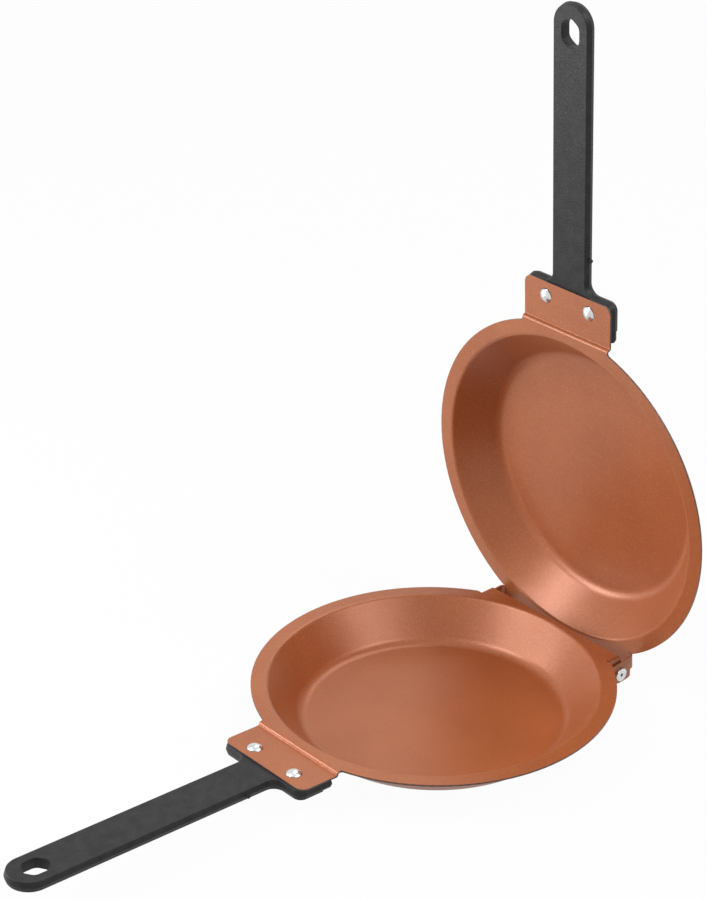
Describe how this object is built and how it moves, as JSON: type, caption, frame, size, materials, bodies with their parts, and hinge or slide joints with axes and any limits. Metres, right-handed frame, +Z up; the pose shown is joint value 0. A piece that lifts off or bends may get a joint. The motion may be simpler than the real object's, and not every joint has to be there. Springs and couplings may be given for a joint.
{
  "type": "double sided flip pan",
  "caption": "Open double sided frying pan: shallow coated steel pans joined rim to rim by a two-ear hinge, each with a flat moulded handle riveted to a stepped tab.",
  "frame": {"origin": "centre of the lower pan's flat underside", "axes": "+Z up, +Y from the lower handle towards the hinge, +X along the hinge axis to the right of someone who holds the lower handle"},
  "size_m": [0.196, 0.399, 0.3798],
  "materials": {
    "coated_steel": "satin copper-coloured non-stick coating with a fine metallic fleck",
    "moulded_plastic": "dark grey moulded heat-resistant plastic, fine satin grain",
    "rivet_metal": "bright, lightly polished",
    "washer_metal": "plain satin steel"
  },
  "bodies": {
    "lower": {"lower_pan": "coated_steel", "lower_handle": "moulded_plastic", "lower_handle_rivet_left": "rivet_metal", "lower_handle_rivet_right": "rivet_metal", "lower_rivet_washer_left": "washer_metal", "lower_rivet_washer_right": "washer_metal", "hinge_rivet_left": "rivet_metal", "hinge_rivet_right": "rivet_metal", "hinge_washer_left": "washer_metal", "hinge_washer_right": "washer_metal"},
    "upper": {"upper_pan": "coated_steel", "upper_handle": "moulded_plastic", "upper_handle_rivet_left": "rivet_metal", "upper_handle_rivet_right": "rivet_metal", "upper_rivet_washer_left": "washer_metal", "upper_rivet_washer_right": "washer_metal"}
  },
  "joints": [
    {"name": "pan_hinge", "type": "hinge", "parent": "lower", "child": "upper", "pos_m": [0, 0.0914, 0.0119], "axis": [1, 0, 0], "range_deg": [0, 86.4]}
  ]
}
